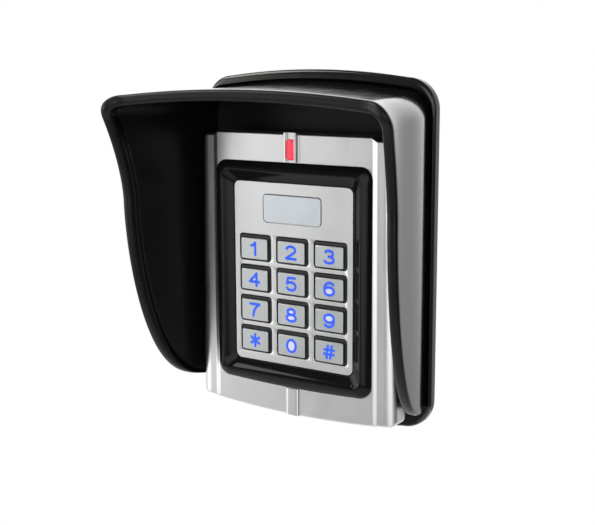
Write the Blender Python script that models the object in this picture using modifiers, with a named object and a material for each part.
"""Outdoor keypad access reader under its weather hood.

The reader is a metal front cover on a black rear housing, with a 3 x 4 metal keypad in a
gloss bezel. It hangs on a steel bracket inside a moulded hood that is screwed to the wall.

Frame: metres, +Z up, the front faces -Y. The origin is the centre of the hood's back face,
which lies on the wall. A "reach" is a distance from the wall towards the front, so that a
point at reach r has y = -r.
"""

from math import cos, pi, sin

import bmesh
import bpy
from mathutils import Matrix, Vector

MM = 0.001
GAP = 0.3 * MM                      # left between pieces that touch

# Heights are counted from the centre of the key grid, which is this far above the origin.
GRID_Z = -19.4 * MM
FACE_REACH = 22.5 * MM              # the keypad plate's front face

# Key grid
COLUMN_PITCH = 19.0 * MM
ROW_PITCH = 13.6 * MM
KEY_NAMES = ("1", "2", "3", "4", "5", "6", "7", "8", "9", "star", "0", "hash")
COLUMNS = 3
ROWS = 4
KEY_WINDOW = (16.4 * MM, 11.7 * MM)
KEY_STEM = (15.8 * MM, 11.1 * MM)
KEY_FLANGE = (17.4 * MM, 12.6 * MM)
KEY_POST = (7.0 * MM, 5.0 * MM)
KEY_CAP = (13.6 * MM, 9.1 * MM)
KEY_CAP_DROP = 0.5 * MM             # the cap sits a little low on its carrier
KEY_CAP_PROUD = 0.95 * MM
KEY_CAP_THICK = 0.85 * MM
KEY_TRAVEL = 0.8 * MM

# Keypad plate, name plate and bezel, as (half-width, low z, high z) from the grid's centre
PLATE_THICK = 1.2 * MM
PLATE_HALF = 29.8 * MM
PLATE_LOW = -30.05 * MM
PLATE_HIGH = 49.2 * MM
PLATE_CORNER = 2.8 * MM
NAME_PLATE = (29.0 * MM, 12.1 * MM)
NAME_PLATE_Z = 38.0 * MM
NAME_POCKET_DEPTH = 0.7 * MM
BEZEL_HALF = 39.0 * MM
BEZEL_LOW = -38.6 * MM
BEZEL_HIGH = 58.0 * MM
BEZEL_CORNER = 5.5 * MM
BEZEL_BULGE = 1.2 * MM              # the bezel's bottom edge bows down by this much
BEZEL_CREST = 3.0 * MM              # the crest stands this far in front of the plate
BEZEL_CREST_INSET = 3.9 * MM
BEZEL_WIDTH = BEZEL_HALF - PLATE_HALF - GAP

# Front cover
COVER_HALF_TOP = 47.2 * MM
COVER_HALF_BOTTOM = 49.9 * MM
COVER_TOP = 70.2 * MM
COVER_SHOULDER = 68.6 * MM
COVER_BOTTOM = -52.2 * MM
COVER_BOTTOM_RADIUS = 447 * MM
COVER_CORNER = 3.0 * MM
COVER_WALL = 2.0 * MM
COVER_BACK_REACH = 13.1 * MM
FLANK_REACH = 22.0 * MM
PANEL_REACH = 22.6 * MM
PANEL_HALF_TOP = 38.3 * MM
PANEL_HALF_BOTTOM = 39.2 * MM
PANEL_BACK_REACH = 20.6 * MM
WINDOW_HALF = 34.5 * MM
WINDOW_LOW = -34.5 * MM
WINDOW_HIGH = 53.8 * MM
RIDGE_WIDTH = 7.0 * MM
RIDGE_REACH = 24.0 * MM
LENS = (3.9 * MM, 8.5 * MM)
LENS_Z = 63.45 * MM
LENS_REACH = 23.2 * MM
CHANNEL_WIDTH = 4.3 * MM            # along the top ridge, with the lens in its floor
CHANNEL_REACH = 23.0 * MM

# Rear housing, bracket and seal
HOUSING_BACK_REACH = 6.8 * MM
HOUSING_FLOOR_REACH = 8.3 * MM
HOUSING_SHOULDER_REACH = 11.5 * MM
HOUSING_FRONT_REACH = 13.9 * MM
HOUSING_INSET = 1.2 * MM
SPIGOT_INSET = 2.4 * MM
HOUSING_CAVITY_INSET = 3.9 * MM
BRACKET_BACK_REACH = 5.3 * MM
BRACKET_FRONT_REACH = 6.5 * MM
BRACKET_HALF = 38.0 * MM
BRACKET_LOW = -46.0 * MM
BRACKET_HIGH = 60.0 * MM
CABLE_Z = 35.0 * MM
CABLE_WINDOW = (40.0 * MM, 24.0 * MM)
WALL_SCREW_X = 30.0 * MM
WALL_SCREW_Z = (-30.0 * MM, 55.0 * MM)
WALL_SCREW_HOLE = 2.4 * MM
HOOK_X = 18.0 * MM
HOOK_WIDTH = 8.0 * MM
HOOK_Z = 56.0 * MM
HOOK_REACH = 11.0 * MM
TAB_WIDTH = 12.0 * MM
TAB_Z = -44.8 * MM
TAB_REACH = 13.2 * MM
TAB_THICK = 1.2 * MM
SECURITY_SCREW_REACH = 9.8 * MM
GROMMET_NECK = 6.5 * MM
GROMMET_BORE = 3.5 * MM

# Circuit board and what stands on it
BOARD_FRONT_REACH = 16.2 * MM
BOARD_THICK = 1.6 * MM
BOARD_BACK_REACH = BOARD_FRONT_REACH - BOARD_THICK
BOARD_HALF = 44.0 * MM
BOARD_LOW = -46.0 * MM
BOARD_HIGH = 64.0 * MM
BOARD_NOTCH = 9.0 * MM
MAT_BACK_REACH = 16.5 * MM
MAT_THICK = 0.8 * MM
DOME_REACH = 18.0 * MM
PART_BACK_REACH = BOARD_BACK_REACH - GAP
LED_BACK_REACH = BOARD_FRONT_REACH + GAP
LED_TOP_REACH = LED_BACK_REACH + 0.8 * MM
SENSOR_PLACE = (-30.0 * MM, GRID_Z - 14.0 * MM)

# Key carriers, each with a flange behind the plate and a post on its dome
CARRIER_FRONT_REACH = FACE_REACH - 0.2 * MM
FLANGE_FRONT_REACH = FACE_REACH - PLATE_THICK - GAP
FLANGE_BACK_REACH = FLANGE_FRONT_REACH - 0.8 * MM
POST_REACH = DOME_REACH + GAP + KEY_TRAVEL

# Screws: the places of the case screws and board screws in the right half
CASE_SCREW_X = 41.0 * MM
CASE_SCREW_Z = (-44.0 * MM, 61.5 * MM)
BOARD_SCREW_X = 39.5 * MM
BOARD_SCREW_Z = (-20.0 * MM, 40.0 * MM)

# Hood: base plate
BASE_HALF = 57.4 * MM
BASE_TOP = 96.3 * MM
BASE_BOTTOM = -57.5 * MM
BASE_CORNER = 13.0 * MM
BASE_ARCH_RADIUS = 335 * MM
BASE_THICK = 5.0 * MM
BASE_LAND = 7.0 * MM
POCKET_DEPTH = 1.8 * MM
RIB_HALF = 6.0 * MM

# Hood: shell. Widths and heights are those of its outer face.
SHELL_ROOT_REACH = 5.0 * MM
SHELL_DEPTH = 60.0 * MM             # from the root to the furthest reach of the rim
SHELL_HALF_WIDTHS = (54.3 * MM, 63.5 * MM, 63.0 * MM, 70.0 * MM)
SHELL_TOP_ROOT = 90.2 * MM
SHELL_TOP_RIM = 89.5 * MM
RIM_ARCH_RADIUS = 595 * MM
SHELL_CORNER = 10.5 * MM
SHELL_WALL = 3.0 * MM
LIP_WIDTH = 4.7 * MM
LIP_DEPTH = 7.0 * MM
LIP_ROUND = 0.9 * MM
SHELL_LOW = -43.5 * MM              # the lower tips of the flanks
RIM_SHOULDER_Z = 41.0 * MM          # the rim is furthest back-swept below this height
RIM_TIP_REACH = 9.5 * MM
RIM_SHOULDER_REACH = 54.0 * MM
RIM_FLARE = 11.5 * MM
RIM_FLARE_HEIGHT = 42.5 * MM
RIM_TOP_REACH = 61.1 * MM
RIM_TOP_SWEEP = 1.2 * MM
RIM_CORNER_BUMP = 2.2 * MM

ARC_STEPS = 6
ROUND_SEGMENTS = 20


# --- Scene, collections and materials ----------------------------------------------------

def clear_scene():
    for obj in list(bpy.data.objects):
        bpy.data.objects.remove(obj, do_unlink=True)


def new_collection(name):
    collection = bpy.data.collections.new(name)
    bpy.context.scene.collection.children.link(collection)
    return collection


def new_material(name, colour, roughness, metallic=0.0):
    material = bpy.data.materials.new(name)
    material.use_nodes = True
    shader = material.node_tree.nodes["Principled BSDF"]
    shader.inputs["Base Color"].default_value = (*colour, 1.0)
    shader.inputs["Roughness"].default_value = roughness
    shader.inputs["Metallic"].default_value = metallic
    return material


clear_scene()
PARTS = new_collection("keypad_access_reader")
CUTTERS = new_collection("cutters")

HOOD_BLACK = new_material("hood_black", (0.012, 0.013, 0.013), 0.22)
SATIN_METAL = new_material("satin_metal", (0.72, 0.72, 0.71), 0.32, 1.0)
PLATE_METAL = new_material("plate_metal", (0.68, 0.68, 0.67), 0.38, 1.0)
KEY_METAL = new_material("key_metal", (0.74, 0.74, 0.73), 0.30, 1.0)
BEZEL_BLACK = new_material("bezel_black", (0.006, 0.006, 0.007), 0.10)
CARRIER_BLACK = new_material("carrier_black", (0.01, 0.01, 0.012), 0.45)
HOUSING_BLACK = new_material("housing_black", (0.015, 0.015, 0.016), 0.50)
LENS_RED = new_material("lens_red", (0.85, 0.03, 0.08), 0.25)
RUBBER_BLACK = new_material("rubber_black", (0.02, 0.02, 0.02), 0.80)
SILICONE = new_material("silicone", (0.62, 0.64, 0.68), 0.60)
BOARD_GREEN = new_material("board_green", (0.02, 0.16, 0.07), 0.40)
CHIP_BLACK = new_material("chip_black", (0.02, 0.02, 0.022), 0.50)
RELAY_BLUE = new_material("relay_blue", (0.05, 0.12, 0.30), 0.40)
LED_WHITE = new_material("led_white", (0.85, 0.85, 0.80), 0.35)
COPPER = new_material("copper", (0.72, 0.36, 0.18), 0.35, 1.0)
ZINC = new_material("zinc", (0.62, 0.63, 0.64), 0.35, 1.0)


# --- Outlines: lists of (x, z), anticlockwise as seen from the front ------------------------

def arc(centre, radius, start, end, steps=ARC_STEPS):
    """Points on a circle, with both ends, for angles in quarter turns."""
    points = []
    for step in range(steps + 1):
        angle = (start + (end - start) * step / steps) * pi / 2
        points.append((centre[0] + radius * cos(angle), centre[1] + radius * sin(angle)))
    return points


def mirrored(right_half):
    """The right half, bottom to top, and its mirror image, top to bottom."""
    left_half = [(-x, z) for x, z in reversed(right_half) if x > 1e-6]
    return right_half + left_half


def rounded_rectangle(size, centre=(0.0, 0.0), radius=1.5 * MM, steps=ARC_STEPS):
    half_x = size[0] / 2 - radius
    half_z = size[1] / 2 - radius
    points = []
    for quarter, (side_x, side_z) in enumerate(((1, 1), (-1, 1), (-1, -1), (1, -1))):
        corner = (centre[0] + side_x * half_x, centre[1] + side_z * half_z)
        points += arc(corner, radius, quarter, quarter + 1, steps)
    return points


def circle(centre, radius, segments=ROUND_SEGMENTS):
    return arc(centre, radius, 0, 4, segments)[:-1]


def plate_outline(inset=0.0):
    size = (2 * (PLATE_HALF - inset), PLATE_HIGH - PLATE_LOW - 2 * inset)
    centre = (0.0, GRID_Z + (PLATE_HIGH + PLATE_LOW) / 2)
    return rounded_rectangle(size, centre, max(PLATE_CORNER - inset, 0.8 * MM))


def bezel_outline(inset):
    """The bezel's outline, from its rim at inset 0 to the plate's edge at BEZEL_WIDTH.

    Its bottom edge bows down, less and less towards the middle."""
    share = inset / BEZEL_WIDTH
    half = BEZEL_HALF - inset
    low = GRID_Z + BEZEL_LOW + (PLATE_LOW - GAP - BEZEL_LOW) * share
    high = GRID_Z + BEZEL_HIGH - (BEZEL_HIGH - PLATE_HIGH - GAP) * share
    radius = max(BEZEL_CORNER - 0.35 * inset, PLATE_CORNER)
    size = (2 * half, high - low)
    centre = (0.0, (high + low) / 2)
    bulge = BEZEL_BULGE * max(0.0, 1 - inset / (BEZEL_HALF - WINDOW_HALF))
    points = []
    for x, z in rounded_rectangle(size, centre, radius):
        bow = bulge * (1 - (x / half) ** 2) if z < centre[1] else 0.0
        points.append((x, z - bow))
        if abs(x + half - radius) < 1e-7 and abs(z - low) < 1e-7:
            points += bottom_run(half - radius, low, bulge, half)
    return points


def bottom_run(half_run, low, bulge, half):
    """Points between the two bottom corners, left to right, on the bowed edge."""
    steps = 8
    run = []
    for step in range(1, steps):
        x = half_run * (2 * step / steps - 1)
        run.append((x, low - bulge * (1 - (x / half) ** 2)))
    return run


def cover_half_width(z, top, bottom):
    """Width at height z of a form that widens evenly from the cover's top to its bottom."""
    share = (COVER_TOP - z) / (COVER_TOP - COVER_BOTTOM)
    return top + (bottom - top) * share


def cover_bottom(x):
    return COVER_BOTTOM + x * x / (2 * COVER_BOTTOM_RADIUS)


def cover_outline(inset=0.0):
    """Arched bottom, rounded lower corners, tapered sides and a stepped top."""
    low_corner_x = cover_half_width(COVER_BOTTOM, COVER_HALF_TOP, COVER_HALF_BOTTOM)
    low_corner_x -= COVER_CORNER + inset
    low_corner = (low_corner_x, cover_bottom(low_corner_x) + COVER_CORNER + inset)
    top_corner_x = COVER_HALF_TOP - COVER_CORNER - inset
    top_corner = (top_corner_x, COVER_SHOULDER - COVER_CORNER - inset)
    steps = 8
    half = []
    for step in range(steps):
        x = low_corner_x * step / steps
        half.append((x, cover_bottom(x) + inset))
    half += arc(low_corner, COVER_CORNER, -1, 0)
    half += arc(top_corner, COVER_CORNER, 0, 1)
    half.append((PANEL_HALF_TOP + 2.2 * MM - inset, COVER_SHOULDER - inset + 0.2 * MM))
    half.append((PANEL_HALF_TOP - inset, COVER_TOP - inset))
    return [(x, z + GRID_Z) for x, z in mirrored(half)]


def panel_outline():
    """The raised middle of the cover's front, between its two ridge lines."""
    edge = 0.6 * MM
    steps = 8
    half = []
    for step in range(steps + 1):
        x = PANEL_HALF_BOTTOM * step / steps
        half.append((x, cover_bottom(x) + edge))
    half.append((PANEL_HALF_TOP, COVER_TOP - edge))
    return [(x, z + GRID_Z) for x, z in mirrored(half)]


def base_outline(inset):
    """The hood's base plate: arched top and bottom edges with round corners."""
    half = BASE_HALF - inset
    radius = BASE_CORNER - inset
    flat = half - radius
    sag = flat * flat / (2 * BASE_ARCH_RADIUS)
    low = BASE_BOTTOM + inset
    high = BASE_TOP - 1.6 * inset
    steps = 8
    right = []
    for step in range(steps):
        x = flat * step / steps
        right.append((x, low + x * x / (2 * BASE_ARCH_RADIUS)))
    right += arc((flat, low + sag + radius), radius, -1, 0)
    right += arc((flat, high - sag - radius), radius, 0, 1)
    for step in range(steps):
        x = flat * (1 - (step + 1) / steps)
        right.append((x, high - x * x / (2 * BASE_ARCH_RADIUS)))
    return [(x, z + GRID_Z) for x, z in mirrored(right)]


# --- Builders ------------------------------------------------------------------------------

def add_object(name, mesh, material, collection=PARTS):
    obj = bpy.data.objects.new(name, mesh)
    mesh.materials.append(material)
    collection.objects.link(obj)
    return obj


def mesh_from(name, edit):
    """Turns all faces outwards and stores the edited mesh."""
    bmesh.ops.recalc_face_normals(edit, faces=edit.faces)
    mesh = bpy.data.meshes.new(name)
    edit.to_mesh(mesh)
    edit.free()
    return mesh


def loft(name, loops, material, ring=False, collection=PARTS):
    """Joins loops of equal length. It caps the two ends, or closes on itself as a ring."""
    edit = bmesh.new()
    rows = []
    for loop in loops:
        rows.append([edit.verts.new(point) for point in loop])
    count = len(rows[0])
    pairs = list(zip(rows, rows[1:]))
    if ring:
        pairs.append((rows[-1], rows[0]))
    else:
        edit.faces.new(rows[0])
        edit.faces.new(rows[-1])
    for near, far in pairs:
        for i in range(count):
            j = (i + 1) % count
            edit.faces.new((near[i], near[j], far[j], far[i]))
    return add_object(name, mesh_from(name, edit), material, collection)


def at_reach(outline, reach):
    return [(x, -reach, z) for x, z in outline]


def plate(name, outlines, back_reach, front_reach, material, collection=PARTS):
    """A flat piece between two reaches. Outlines after the first are holes in it."""
    curve = bpy.data.curves.new(name, "CURVE")
    curve.dimensions = "2D"
    curve.fill_mode = "BOTH"
    curve.extrude = (front_reach - back_reach) / 2
    for outline in outlines:
        spline = curve.splines.new("POLY")
        spline.points.add(len(outline) - 1)
        for point, (x, z) in zip(spline.points, outline):
            point.co = (x, z, 0.0, 1.0)
        spline.use_cyclic_u = True
    flat = bpy.data.objects.new(name + "_outline", curve)
    CUTTERS.objects.link(flat)
    graph = bpy.context.evaluated_depsgraph_get()
    mesh = bpy.data.meshes.new_from_object(flat.evaluated_get(graph))
    bpy.data.objects.remove(flat)
    mesh.name = name
    edit = bmesh.new()
    edit.from_mesh(mesh)
    bmesh.ops.remove_doubles(edit, verts=edit.verts, dist=1e-6)
    bmesh.ops.recalc_face_normals(edit, faces=edit.faces)
    edit.to_mesh(mesh)
    edit.free()
    mesh.transform(Matrix.Rotation(pi / 2, 4, "X"))
    mesh.materials.clear()
    obj = add_object(name, mesh, material, collection)
    obj.location.y = -(front_reach + back_reach) / 2
    return obj


def box(name, size, centre, material, collection=PARTS):
    edit = bmesh.new()
    bmesh.ops.create_cube(edit, size=1.0)
    bmesh.ops.scale(edit, vec=size, verts=edit.verts)
    obj = add_object(name, mesh_from(name, edit), material, collection)
    obj.location = centre
    return obj


def slab(name, size, centre, back_reach, front_reach, material, collection=PARTS):
    """A box given by its (width, height), its (x, z) and the reaches of its two faces."""
    full_size = (size[0], front_reach - back_reach, size[1])
    place = (centre[0], -(front_reach + back_reach) / 2, centre[1])
    return box(name, full_size, place, material, collection)


def cylinder(name, radius, centre, back_reach, front_reach, material, collection=PARTS,
             segments=ROUND_SEGMENTS):
    """A round piece whose axis runs along Y."""
    edit = bmesh.new()
    bmesh.ops.create_cone(edit, cap_ends=True, segments=segments, radius1=radius,
                          radius2=radius, depth=front_reach - back_reach)
    bmesh.ops.rotate(edit, matrix=Matrix.Rotation(pi / 2, 3, "X"), verts=edit.verts)
    obj = add_object(name, mesh_from(name, edit), material, collection)
    obj.location = (centre[0], -(front_reach + back_reach) / 2, centre[1])
    shade(obj)
    return obj


def turned(name, profile, place, axis_rotation, material):
    """A solid of revolution. The profile is (radius, height), down its outer side."""
    mesh = bpy.data.meshes.new(name)
    points = [(radius, 0.0, height) for radius, height in profile]
    edges = [(i, (i + 1) % len(points)) for i in range(len(points))]
    if min(radius for radius, _ in profile) < 1e-9:
        edges.pop()
    mesh.from_pydata(points, edges, [])
    obj = add_object(name, mesh, material)
    obj.location = place
    obj.rotation_euler = axis_rotation
    screw = obj.modifiers.new("turn", "SCREW")
    screw.steps = ROUND_SEGMENTS
    screw.render_steps = ROUND_SEGMENTS
    screw.use_merge_vertices = True
    screw.merge_threshold = 1e-6
    return obj


def shade(obj):
    obj.data.shade_smooth()
    obj.data.set_sharp_from_angle(angle=pi / 6)


def boolean(target, tool, operation):
    """Cuts or joins with a tool, which becomes a hidden wire object."""
    for collection in tool.users_collection:
        collection.objects.unlink(tool)
    CUTTERS.objects.link(tool)
    tool.hide_render = True
    tool.display_type = "WIRE"
    modifier = target.modifiers.new(f"{operation.lower()}_{tool.name}", "BOOLEAN")
    modifier.operation = operation
    modifier.solver = "EXACT"
    modifier.object = tool


def cut(target, *tools):
    for tool in tools:
        boolean(target, tool, "DIFFERENCE")


def join(target, *tools):
    for tool in tools:
        boolean(target, tool, "UNION")


def bevel(obj, width, segments=2):
    modifier = obj.modifiers.new("edges", "BEVEL")
    modifier.width = width
    modifier.segments = segments
    modifier.limit_method = "ANGLE"


def four_places(x, heights):
    """(x, z) on both sides at each height above the key grid's centre."""
    return [(side * x, GRID_Z + z) for z in heights for side in (-1, 1)]


# --- Hood ------------------------------------------------------------------------------------

def shell_share(reach):
    return (reach - SHELL_ROOT_REACH) / SHELL_DEPTH


def shell_half_width(reach):
    """Cubic Bernstein curve: steep next to the base, then flaring towards the rim."""
    t = shell_share(reach)
    a, b, c, d = SHELL_HALF_WIDTHS
    return a * (1 - t) ** 3 + 3 * b * t * (1 - t) ** 2 + 3 * c * t * t * (1 - t) + d * t ** 3


def shell_top(reach):
    return SHELL_TOP_ROOT + (SHELL_TOP_RIM - SHELL_TOP_ROOT) * shell_share(reach)


def shell_sag(x, reach):
    """How far the arched roof drops at x."""
    t = shell_share(reach)
    curvature = (1 - t) / BASE_ARCH_RADIUS + t / RIM_ARCH_RADIUS
    return curvature * x * x / 2


def shell_point(station, reach, inset):
    """Point of the shell at a station along the roof, a corner or a flank.

    The inset moves it into the wall from the outer face."""
    place, value = station
    corner_x = shell_half_width(reach) - SHELL_CORNER
    corner_z = shell_top(reach) - shell_sag(corner_x, reach) - SHELL_CORNER
    if place == "roof":
        x = corner_x * value
        z = shell_top(reach) - shell_sag(x, reach) - inset
    elif place == "corner":
        x = corner_x + (SHELL_CORNER - inset) * cos(value)
        z = corner_z + (SHELL_CORNER - inset) * sin(value)
    else:
        x = shell_half_width(reach) - inset
        z = SHELL_LOW + (corner_z - SHELL_LOW) * value
    return x, z


def flank_rim_reach(z):
    """Side view of the rim: swept back to the tip below the shoulder, flared above it."""
    below = min(max((RIM_SHOULDER_Z - z) / (RIM_SHOULDER_Z - SHELL_LOW), 0.0), 1.0)
    above = max((z - RIM_SHOULDER_Z) / RIM_FLARE_HEIGHT, 0.0)
    sweep = (RIM_SHOULDER_REACH - RIM_TIP_REACH) * (1 - below ** 1.7) ** 0.36
    return RIM_TIP_REACH + sweep + RIM_FLARE * above ** 1.6


def rim_reach(station):
    place, value = station
    corner_reach = RIM_TOP_REACH + RIM_TOP_SWEEP
    if place == "roof":
        return RIM_TOP_REACH + RIM_TOP_SWEEP * value * value
    corner_z = SHELL_TOP_RIM - shell_sag(SHELL_HALF_WIDTHS[3] - SHELL_CORNER, SHELL_DEPTH)
    flank_top = corner_z - SHELL_CORNER
    if place == "corner":
        share = value / (pi / 2)
        blend = flank_rim_reach(flank_top) * (1 - share) + corner_reach * share
        return blend + RIM_CORNER_BUMP * sin(2 * value)
    return flank_rim_reach(SHELL_LOW + (flank_top - SHELL_LOW) * value)


def hood_stations():
    """Stations of the right half, from the lower tip of the flank to the roof's centre."""
    flank_steps = 16
    flank = [("flank", (step / flank_steps) ** 1.4) for step in range(flank_steps + 1)]
    corner = [("corner", pi / 2 * step / ARC_STEPS) for step in range(1, ARC_STEPS)]
    roof = [("roof", 1 - step / 4) for step in range(5)]
    return flank + corner + roof


def hood_section(station):
    """Closed section of the wall at a station: up the outer face, over the lip, back inside."""
    rim = rim_reach(station)
    root = SHELL_ROOT_REACH - 1.0 * MM
    lip_start = max(rim - LIP_DEPTH, SHELL_ROOT_REACH + 1.5 * MM)
    foot = SHELL_ROOT_REACH + 2.0 * MM
    steps = 5
    outer = [(root, -2.0 * MM), (foot, 0.0)]
    for step in range(1, steps + 1):
        outer.append((foot + (rim - LIP_ROUND - foot) * step / steps, 0.0))
    lip = [(rim, LIP_ROUND), (rim, LIP_WIDTH - LIP_ROUND), (rim - LIP_ROUND, LIP_WIDTH)]
    inner = [(lip_start + (foot - lip_start) * step / 3, SHELL_WALL) for step in range(4)]
    inner.append((root, SHELL_WALL))
    section = []
    for reach, inset in outer + lip + inner:
        x, z = shell_point(station, reach, inset)
        section.append(Vector((x, -reach, z + GRID_Z)))
    return section


def make_hood():
    right = [hood_section(station) for station in hood_stations()]
    left = []
    for section in reversed(right[:-1]):
        left.append([Vector((-point.x, point.y, point.z)) for point in section])
    hood = loft("hood", right + left, HOOD_BLACK)
    edge_rings = ((0.0, 0.0), (3.4 * MM, 0.3 * MM), (4.5 * MM, 0.8 * MM), (BASE_THICK, 1.6 * MM))
    base = loft("hood_base_plate", [at_reach(base_outline(inset), reach)
                                    for reach, inset in edge_rings], HOOD_BLACK)
    join(hood, base)
    cut(hood, *hood_pockets())
    window = rounded_rectangle(CABLE_WINDOW, (0.0, GRID_Z + CABLE_Z), 3.0 * MM)
    cut(hood, plate("hood_cable_window", [window], -1 * MM, BASE_THICK + 1 * MM, HOOD_BLACK))
    for index, place in enumerate(four_places(WALL_SCREW_X, WALL_SCREW_Z), 1):
        cut(hood, cylinder(f"hood_screw_hole_{index}", WALL_SCREW_HOLE, place, -1 * MM,
                           BASE_THICK + 1 * MM, HOOD_BLACK, segments=12))
    return hood


def hood_pockets():
    """Four shallow pockets in the back, which leave an outer land and a cross of ribs."""
    right = BASE_HALF - BASE_LAND
    low = GRID_Z + BASE_BOTTOM + BASE_LAND + 2 * MM
    high = GRID_Z + BASE_TOP - BASE_LAND - 4 * MM
    pockets = []
    for side in (-1, 1):
        for bottom, top in ((low, -RIB_HALF), (RIB_HALF, high)):
            size = (right - RIB_HALF, top - bottom)
            centre = (side * (right + RIB_HALF) / 2, (top + bottom) / 2)
            outline = rounded_rectangle(size, centre, 5 * MM, 3)
            name = f"hood_pocket_{len(pockets) + 1}"
            pockets.append(plate(name, [outline], -1 * MM, POCKET_DEPTH, HOOD_BLACK))
    return pockets


# --- Bracket, rear housing and seal -----------------------------------------------------------

def make_bracket():
    """A steel plate with two hooks for the housing and a tapped tab at the bottom."""
    size = (2 * BRACKET_HALF, BRACKET_HIGH - BRACKET_LOW)
    centre = (0.0, GRID_Z + (BRACKET_HIGH + BRACKET_LOW) / 2)
    outlines = [rounded_rectangle(size, centre, 4 * MM)]
    window = (CABLE_WINDOW[0] + 4 * MM, CABLE_WINDOW[1] + 4 * MM)
    outlines.append(rounded_rectangle(window, (0.0, GRID_Z + CABLE_Z), 3 * MM))
    for x, z in four_places(WALL_SCREW_X, WALL_SCREW_Z):
        outlines.append(rounded_rectangle((10 * MM, 5 * MM), (x, z), 2.45 * MM))
    bracket = plate("mounting_bracket", outlines, BRACKET_BACK_REACH, BRACKET_FRONT_REACH, ZINC)
    overlap = 0.6 * MM
    for side in (-1, 1):
        join(bracket, slab(f"bracket_hook_{side + 2}", (HOOK_WIDTH, TAB_THICK),
                           (side * HOOK_X, GRID_Z + HOOK_Z), BRACKET_FRONT_REACH - overlap,
                           HOOK_REACH, ZINC))
    tab = slab("bracket_tab", (TAB_WIDTH, TAB_THICK), (0.0, GRID_Z + TAB_Z),
               BRACKET_FRONT_REACH - overlap, TAB_REACH, ZINC)
    join(bracket, tab)
    hole = cylinder("bracket_tab_hole", 1.5 * MM, (0.0, 0.0), -3 * MM, 3 * MM, ZINC, segments=12)
    hole.rotation_euler = (pi / 2, 0.0, 0.0)
    hole.location = (0.0, -SECURITY_SCREW_REACH, GRID_Z + TAB_Z)
    cut(bracket, hole)
    return bracket


def make_rear_housing():
    rings = (
        (HOUSING_BACK_REACH, HOUSING_INSET + 1.0 * MM),
        (HOUSING_BACK_REACH + 1.0 * MM, HOUSING_INSET),
        (HOUSING_SHOULDER_REACH, HOUSING_INSET),
        (HOUSING_SHOULDER_REACH, SPIGOT_INSET),
        (HOUSING_FRONT_REACH, SPIGOT_INSET),
    )
    loops = [at_reach(cover_outline(inset), reach) for reach, inset in rings]
    housing = loft("rear_housing", loops, HOUSING_BLACK)
    cavity = cover_outline(HOUSING_CAVITY_INSET)
    cut(housing, plate("housing_cavity", [cavity], HOUSING_FLOOR_REACH,
                       HOUSING_FRONT_REACH + 1 * MM, HOUSING_BLACK))
    for index, place in enumerate(four_places(CASE_SCREW_X, CASE_SCREW_Z), 1):
        join(housing, cylinder(f"housing_boss_{index}", 3.4 * MM, place,
                               HOUSING_FLOOR_REACH - 0.5 * MM, HOUSING_FRONT_REACH - GAP,
                               HOUSING_BLACK))
        cut(housing, cylinder(f"housing_screw_hole_{index}", 1.8 * MM, place,
                              HOUSING_BACK_REACH - 1 * MM, HOUSING_FRONT_REACH + 1 * MM,
                              HOUSING_BLACK, segments=12))
        cut(housing, cylinder(f"housing_head_recess_{index}", 3.0 * MM, place,
                              HOUSING_BACK_REACH - 1 * MM, HOUSING_BACK_REACH + 2.0 * MM,
                              HOUSING_BLACK, segments=16))
    cut(housing, *housing_holes())
    return housing


def housing_holes():
    """Cable hole, tamper window, hook and tab slots, and the security screw's hole."""
    back = HOUSING_BACK_REACH - 1 * MM
    floor = HOUSING_FLOOR_REACH + 1 * MM
    cable = cylinder("housing_cable_hole", GROMMET_NECK + GAP, (0.0, GRID_Z + CABLE_Z), back,
                     floor, HOUSING_BLACK, segments=24)
    tamper = cylinder("housing_tamper_window", 2.2 * MM, SENSOR_PLACE, back, floor,
                      HOUSING_BLACK, segments=16)
    slots = []
    for side in (-1, 1):
        slots.append(slab(f"housing_hook_slot_{side + 2}", (HOOK_WIDTH + 1.2 * MM, 2.6 * MM),
                          (side * HOOK_X, GRID_Z + HOOK_Z), back, floor, HOUSING_BLACK))
    tab_slot = slab("housing_tab_slot", (TAB_WIDTH + 1.2 * MM, 2.6 * MM),
                    (0.0, GRID_Z + TAB_Z), back, floor, HOUSING_BLACK)
    screw = cylinder("housing_security_hole", 1.5 * MM, (0.0, 0.0), -3 * MM, 3 * MM,
                     HOUSING_BLACK, segments=12)
    screw.rotation_euler = (pi / 2, 0.0, 0.0)
    screw.location = (0.0, -SECURITY_SCREW_REACH, GRID_Z + COVER_BOTTOM + 2.5 * MM)
    return [cable, tamper, *slots, tab_slot, screw]


def make_gasket():
    """A flat sponge-rubber ring between the cover's back edge and the housing's shoulder."""
    outlines = [cover_outline(0.5 * MM), cover_outline(SPIGOT_INSET - GAP)]
    return plate("housing_gasket", outlines, HOUSING_SHOULDER_REACH + GAP,
                 COVER_BACK_REACH - GAP, RUBBER_BLACK)


def make_grommet():
    """A rubber cable bush whose groove grips the housing's back wall."""
    inner_flange = 8.4 * MM
    outer_flange = 7.6 * MM
    profile = (
        (GROMMET_BORE, 4.2 * MM),
        (inner_flange, 4.2 * MM),
        (inner_flange, 2.0 * MM + GAP),
        (GROMMET_NECK, 2.0 * MM + GAP),
        (GROMMET_NECK, 0.5 * MM - GAP),
        (outer_flange, 0.5 * MM - GAP),
        (outer_flange - 0.6 * MM, -0.7 * MM),
        (GROMMET_BORE, -0.7 * MM),
    )
    place = (0.0, -(HOUSING_BACK_REACH - 0.5 * MM), GRID_Z + CABLE_Z)
    return turned("cable_grommet", profile, place, (pi / 2, 0.0, 0.0), RUBBER_BLACK)


# --- Front cover ---------------------------------------------------------------------------

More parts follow.
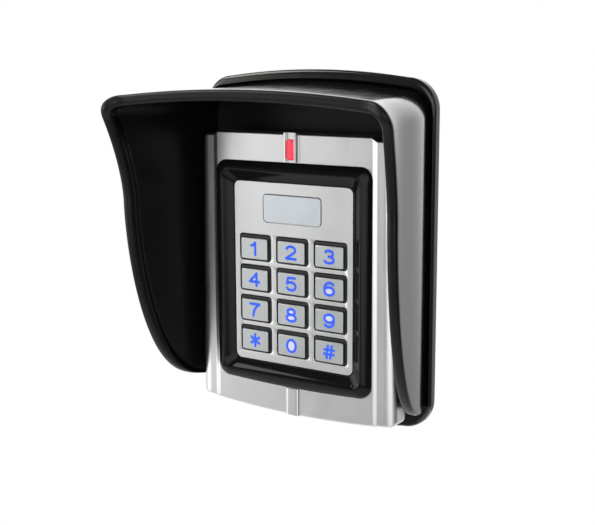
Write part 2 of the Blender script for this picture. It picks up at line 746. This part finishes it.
def make_front_cover():
    rings = (
        (COVER_BACK_REACH, 0.0),
        (FLANK_REACH - 1.6 * MM, 0.0),
        (FLANK_REACH - 0.5 * MM, 0.5 * MM),
        (FLANK_REACH, 1.6 * MM),
    )
    loops = [at_reach(cover_outline(inset), reach) for reach, inset in rings]
    cover = loft("front_cover", loops, SATIN_METAL)
    join(cover, plate("cover_panel", [panel_outline()], PANEL_BACK_REACH + 0.5 * MM,
                      PANEL_REACH, SATIN_METAL))
    cut(cover, plate("cover_cavity", [cover_outline(COVER_WALL)], COVER_BACK_REACH - 1 * MM,
                     PANEL_BACK_REACH, SATIN_METAL))
    for name, low, high in (("top", BEZEL_HIGH + GAP, COVER_TOP + 0.4 * MM),
                            ("bottom", COVER_BOTTOM + 0.9 * MM, BEZEL_LOW - BEZEL_BULGE - GAP)):
        ridge = slab(f"cover_ridge_{name}", (RIDGE_WIDTH, high - low),
                     (0.0, GRID_Z + (high + low) / 2), PANEL_REACH - 1 * MM, RIDGE_REACH,
                     SATIN_METAL)
        bevel(ridge, 0.9 * MM)
        join(cover, ridge)
    channel_size = (CHANNEL_WIDTH, COVER_TOP - BEZEL_HIGH + 4 * MM)
    cut(cover, slab("cover_lens_channel", channel_size,
                    (0.0, GRID_Z + (COVER_TOP + BEZEL_HIGH) / 2), CHANNEL_REACH,
                    RIDGE_REACH + 1 * MM, SATIN_METAL))
    window_size = (2 * WINDOW_HALF, WINDOW_HIGH - WINDOW_LOW)
    window_centre = (0.0, GRID_Z + (WINDOW_HIGH + WINDOW_LOW) / 2)
    window = rounded_rectangle(window_size, window_centre, 4 * MM)
    cut(cover, plate("cover_window", [window], PANEL_BACK_REACH - 1 * MM, RIDGE_REACH + 1 * MM,
                     SATIN_METAL))
    slot = rounded_rectangle((LENS[0] + 2 * GAP, LENS[1] + 2 * GAP), (0.0, GRID_Z + LENS_Z),
                             0.9 * MM, 3)
    cut(cover, plate("cover_lens_slot", [slot], PANEL_BACK_REACH - 1 * MM,
                     RIDGE_REACH + 1 * MM, SATIN_METAL))
    for kind, radius, hole, back, places in (
            ("case", 3.4 * MM, 1.7 * MM, HOUSING_FRONT_REACH + GAP,
             four_places(CASE_SCREW_X, CASE_SCREW_Z)),
            ("board", 2.6 * MM, 1.4 * MM, BOARD_FRONT_REACH + GAP,
             four_places(BOARD_SCREW_X, BOARD_SCREW_Z))):
        for index, place in enumerate(places, 1):
            join(cover, cylinder(f"cover_{kind}_boss_{index}", radius, place, back,
                                 PANEL_BACK_REACH + 0.5 * MM, SATIN_METAL))
            cut(cover, cylinder(f"cover_{kind}_tap_{index}", hole, place, back - 1 * MM,
                                PANEL_BACK_REACH - 0.6 * MM, SATIN_METAL, segments=12))
    return cover


# --- Bezel, plates and lens --------------------------------------------------------------------

def make_bezel():
    """A gloss ring over the cover's window, with a collar and a shelf behind the plate."""
    foot = PANEL_REACH + GAP
    collar = BEZEL_HALF - WINDOW_HALF + GAP
    shelf = BEZEL_HALF - PLATE_HALF + 1.6 * MM
    crest = FACE_REACH + BEZEL_CREST
    profile = (
        (0.0, foot),
        (0.3 * MM, foot + 0.5 * MM),
        (BEZEL_CREST_INSET - 0.5 * MM, crest - 0.1 * MM),
        (BEZEL_CREST_INSET + 0.3 * MM, crest),
        (BEZEL_WIDTH - 0.3 * MM, FACE_REACH + 0.6 * MM),
        (BEZEL_WIDTH, FACE_REACH + 0.3 * MM),
        (BEZEL_WIDTH, FACE_REACH - PLATE_THICK - GAP),
        (shelf, FACE_REACH - PLATE_THICK - GAP),
        (shelf, FACE_REACH - PLATE_THICK - 1.8 * MM),
        (collar, FACE_REACH - PLATE_THICK - 1.8 * MM),
        (collar, foot),
    )
    loops = [at_reach(bezel_outline(inset), reach) for inset, reach in profile]
    bezel = loft("bezel_ring", loops, BEZEL_BLACK, ring=True)
    shade(bezel)
    return bezel


def key_places():
    """(name, x, z) of each key, row by row from the top left."""
    places = []
    for index, name in enumerate(KEY_NAMES):
        row, column = divmod(index, COLUMNS)
        x = (column - (COLUMNS - 1) / 2) * COLUMN_PITCH
        z = GRID_Z + ((ROWS - 1) / 2 - row) * ROW_PITCH
        places.append((name, x, z))
    return places


def make_keypad_plate():
    outlines = [plate_outline()]
    for _, x, z in key_places():
        outlines.append(rounded_rectangle(KEY_WINDOW, (x, z), 1.5 * MM, 3))
    keypad_plate = plate("keypad_plate", outlines, FACE_REACH - PLATE_THICK, FACE_REACH,
                         PLATE_METAL)
    size = (NAME_PLATE[0] + 2 * GAP, NAME_PLATE[1] + 2 * GAP)
    pocket = rounded_rectangle(size, (0.0, GRID_Z + NAME_PLATE_Z), 2.0 * MM, 4)
    cut(keypad_plate, plate("name_pocket", [pocket], FACE_REACH - NAME_POCKET_DEPTH,
                            FACE_REACH + 1 * MM, PLATE_METAL))
    return keypad_plate


def make_name_plate():
    outline = rounded_rectangle(NAME_PLATE, (0.0, GRID_Z + NAME_PLATE_Z), 1.8 * MM, 4)
    return plate("name_plate", [outline], FACE_REACH - NAME_POCKET_DEPTH + GAP,
                 FACE_REACH + 0.25 * MM, PLATE_METAL)


def make_led_lens():
    """A red light pipe: its head fills the slot, and side flanges hold it behind the panel."""
    centre = (0.0, GRID_Z + LENS_Z)
    head = rounded_rectangle(LENS, centre, 0.8 * MM, 3)
    flange_front = PANEL_BACK_REACH - GAP
    flange_back = flange_front - 1.0 * MM
    lens = plate("led_lens", [head], flange_front - 0.2 * MM, LENS_REACH, LENS_RED)
    flange = (LENS[0] + 2 * MM, LENS[1] - 1 * MM)
    join(lens, slab("lens_flange", flange, centre, flange_back, flange_front, LENS_RED))
    join(lens, slab("lens_pipe", (3.0 * MM, 6.0 * MM), centre, LED_TOP_REACH + GAP,
                    flange_back + 0.3 * MM, LENS_RED))
    return lens


# --- Keys -------------------------------------------------------------------------------------

def make_key(name, x, z):
    """A metal cap on a black carrier, held behind the plate by the carrier's flange.

    Both hang on an empty at the middle of the key, on the axis that the key travels along."""
    axis = bpy.data.objects.new(f"key_{name}_axis", None)
    axis.location = (x, -FACE_REACH, z)
    PARTS.objects.link(axis)
    cap_outline = rounded_rectangle(KEY_CAP, (0.0, -KEY_CAP_DROP), 0.7 * MM, 3)
    cap_front = KEY_CAP_PROUD
    cap = plate(f"key_{name}_cap", [cap_outline], cap_front - KEY_CAP_THICK, cap_front, KEY_METAL)
    stem_outline = rounded_rectangle(KEY_STEM, (0.0, 0.0), 1.2 * MM, 3)
    carrier = plate(f"key_{name}_carrier", [stem_outline],
                    FLANGE_FRONT_REACH - 0.4 * MM - FACE_REACH,
                    CARRIER_FRONT_REACH - FACE_REACH, CARRIER_BLACK)
    flange = slab(f"key_{name}_flange", KEY_FLANGE, (0.0, 0.0),
                  FLANGE_BACK_REACH - FACE_REACH, FLANGE_FRONT_REACH - FACE_REACH, CARRIER_BLACK)
    post = slab(f"key_{name}_post", KEY_POST, (0.0, 0.0), POST_REACH - FACE_REACH,
                FLANGE_BACK_REACH + 0.4 * MM - FACE_REACH, CARRIER_BLACK)
    for piece in (cap, carrier, flange, post):
        piece.parent = axis
    join(carrier, flange, post)


def make_keys():
    for name, x, z in key_places():
        make_key(name, x, z)


def make_keypad_mat():
    """A silicone sheet with one hollow dome behind each key."""
    half_x = 27.4 * MM
    half_z = 27.6 * MM
    front = MAT_BACK_REACH + MAT_THICK
    outline = rounded_rectangle((2 * half_x, 2 * half_z), (0.0, GRID_Z), 2 * MM, 3)
    mat = plate("keypad_mat", [outline], MAT_BACK_REACH, front, SILICONE)
    for name, x, z in key_places():
        edit = bmesh.new()
        bmesh.ops.create_cone(edit, cap_ends=True, segments=12, radius1=4.4 * MM,
                              radius2=3.0 * MM, depth=DOME_REACH - front + 0.3 * MM)
        bmesh.ops.rotate(edit, matrix=Matrix.Rotation(pi / 2, 3, "X"), verts=edit.verts)
        dome = add_object(f"mat_dome_{name}", mesh_from("dome", edit), SILICONE)
        dome.location = (x, -(DOME_REACH + front - 0.3 * MM) / 2, z)
        hollow = cylinder(f"mat_hollow_{name}", 2.2 * MM, (x, z), MAT_BACK_REACH - 1 * MM,
                          DOME_REACH - 0.5 * MM, SILICONE, segments=12)
        join(mat, dome)
        cut(mat, hollow)
    return mat


# --- Board and its parts -----------------------------------------------------------------------

def make_main_board():
    """The circuit board, notched at its corners to pass the case screws' bosses."""
    half = BOARD_HALF
    notch_x = half - BOARD_NOTCH
    low = GRID_Z + BOARD_LOW
    high = GRID_Z + BOARD_HIGH
    right = [
        (notch_x, low),
        (notch_x, low + BOARD_NOTCH),
        (half, low + BOARD_NOTCH),
        (half, high - BOARD_NOTCH),
        (notch_x, high - BOARD_NOTCH),
        (notch_x, high),
    ]
    outlines = [mirrored(right)]
    for place in four_places(BOARD_SCREW_X, BOARD_SCREW_Z):
        outlines.append(circle(place, 1.6 * MM, 12))
    return plate("main_board", outlines, BOARD_BACK_REACH, BOARD_FRONT_REACH, BOARD_GREEN)


def make_board_parts():
    slab("status_led", (3.2 * MM, 3.0 * MM), (0.0, GRID_Z + LENS_Z), LED_BACK_REACH,
         LED_TOP_REACH, LED_WHITE)
    led_places = [(side * 30.2 * MM, GRID_Z + z) for z in (-13.6 * MM, 13.6 * MM)
                  for side in (-1, 1)]
    for index, place in enumerate(led_places, 1):
        slab(f"backlight_led_{index}", (1.6 * MM, 3.2 * MM), place, LED_BACK_REACH,
             LED_BACK_REACH + 0.6 * MM, LED_WHITE)
    slab("microcontroller", (10 * MM, 10 * MM), (-8 * MM, GRID_Z - 20 * MM),
         PART_BACK_REACH - 1.2 * MM, PART_BACK_REACH, CHIP_BLACK)
    relay = slab("relay", (15 * MM, 10 * MM), (20 * MM, GRID_Z - 20 * MM),
                 PART_BACK_REACH - 5.4 * MM, PART_BACK_REACH, RELAY_BLUE)
    bevel(relay, 0.4 * MM, 1)
    buzzer_place = (27 * MM, GRID_Z + 46 * MM)
    buzzer = cylinder("buzzer", 6.0 * MM, buzzer_place, PART_BACK_REACH - 5.0 * MM,
                      PART_BACK_REACH, CHIP_BLACK)
    cut(buzzer, cylinder("buzzer_port", 1.2 * MM, buzzer_place, PART_BACK_REACH - 6.0 * MM,
                         PART_BACK_REACH - 3.5 * MM, CHIP_BLACK, segments=12))
    cylinder("tamper_sensor", 2.5 * MM, SENSOR_PLACE, PART_BACK_REACH - 2.0 * MM,
             PART_BACK_REACH, LED_WHITE)


def make_header():
    """A shrouded header for the wiring, open towards the back."""
    centre = (0.0, GRID_Z + 12 * MM)
    header = slab("header_connector", (22 * MM, 7 * MM), centre, PART_BACK_REACH - 5.0 * MM,
                  PART_BACK_REACH, LED_WHITE)
    cut(header, slab("header_socket", (20 * MM, 5 * MM), centre, PART_BACK_REACH - 6.0 * MM,
                     PART_BACK_REACH - 1.2 * MM, LED_WHITE))
    return header


def make_antenna_coil():
    """The card reader's copper winding, behind the plastic bezel."""
    centre = (0.0, GRID_Z + (WINDOW_HIGH + WINDOW_LOW) / 2)
    height = WINDOW_HIGH - WINDOW_LOW - 1.6 * MM
    outer = rounded_rectangle((67.0 * MM, height), centre, 5.0 * MM, 4)
    inner = rounded_rectangle((63.4 * MM, height - 3.6 * MM), centre, 3.2 * MM, 4)
    front = FACE_REACH - PLATE_THICK - 1.8 * MM - GAP
    return plate("antenna_coil", [outer, inner], front - 1.6 * MM, front, COPPER)


# --- Screws ----------------------------------------------------------------------------------

def screw_profile(head_radius, head_height, shank_radius, length):
    """From the middle of the domed head down its outer side to the tip."""
    return (
        (0.0, head_height),
        (head_radius * 0.7, head_height),
        (head_radius, head_height * 0.6),
        (head_radius, 0.0),
        (shank_radius, 0.0),
        (shank_radius, -length + shank_radius),
        (0.0, -length),
    )


def make_screws():
    case = screw_profile(2.6 * MM, 1.6 * MM, 1.4 * MM, 10.5 * MM)
    case_reach = HOUSING_BACK_REACH + 2.0 * MM - GAP
    for index, (x, z) in enumerate(four_places(CASE_SCREW_X, CASE_SCREW_Z), 1):
        place = (x, -case_reach, z)
        screw = turned(f"case_screw_{index}", case, place, (-pi / 2, 0.0, 0.0), ZINC)
        shade_turned(screw)
    board = screw_profile(2.3 * MM, 1.3 * MM, 1.1 * MM, 5.0 * MM)
    for index, (x, z) in enumerate(four_places(BOARD_SCREW_X, BOARD_SCREW_Z), 1):
        place = (x, -PART_BACK_REACH, z)
        screw = turned(f"board_screw_{index}", board, place, (-pi / 2, 0.0, 0.0), ZINC)
        shade_turned(screw)
    security = screw_profile(1.9 * MM, 1.1 * MM, 1.2 * MM, 8.0 * MM)
    place = (0.0, -SECURITY_SCREW_REACH, GRID_Z + COVER_BOTTOM + HOUSING_INSET - GAP)
    shade_turned(turned("security_screw", security, place, (pi, 0.0, 0.0), ZINC))


def shade_turned(obj):
    for modifier in obj.modifiers:
        modifier.use_smooth_shade = True


def main():
    make_hood()
    make_bracket()
    make_rear_housing()
    make_gasket()
    make_grommet()
    make_front_cover()
    make_bezel()
    make_keypad_plate()
    make_name_plate()
    make_led_lens()
    make_keys()
    make_keypad_mat()
    make_main_board()
    make_board_parts()
    make_header()
    make_antenna_coil()
    make_screws()


main()
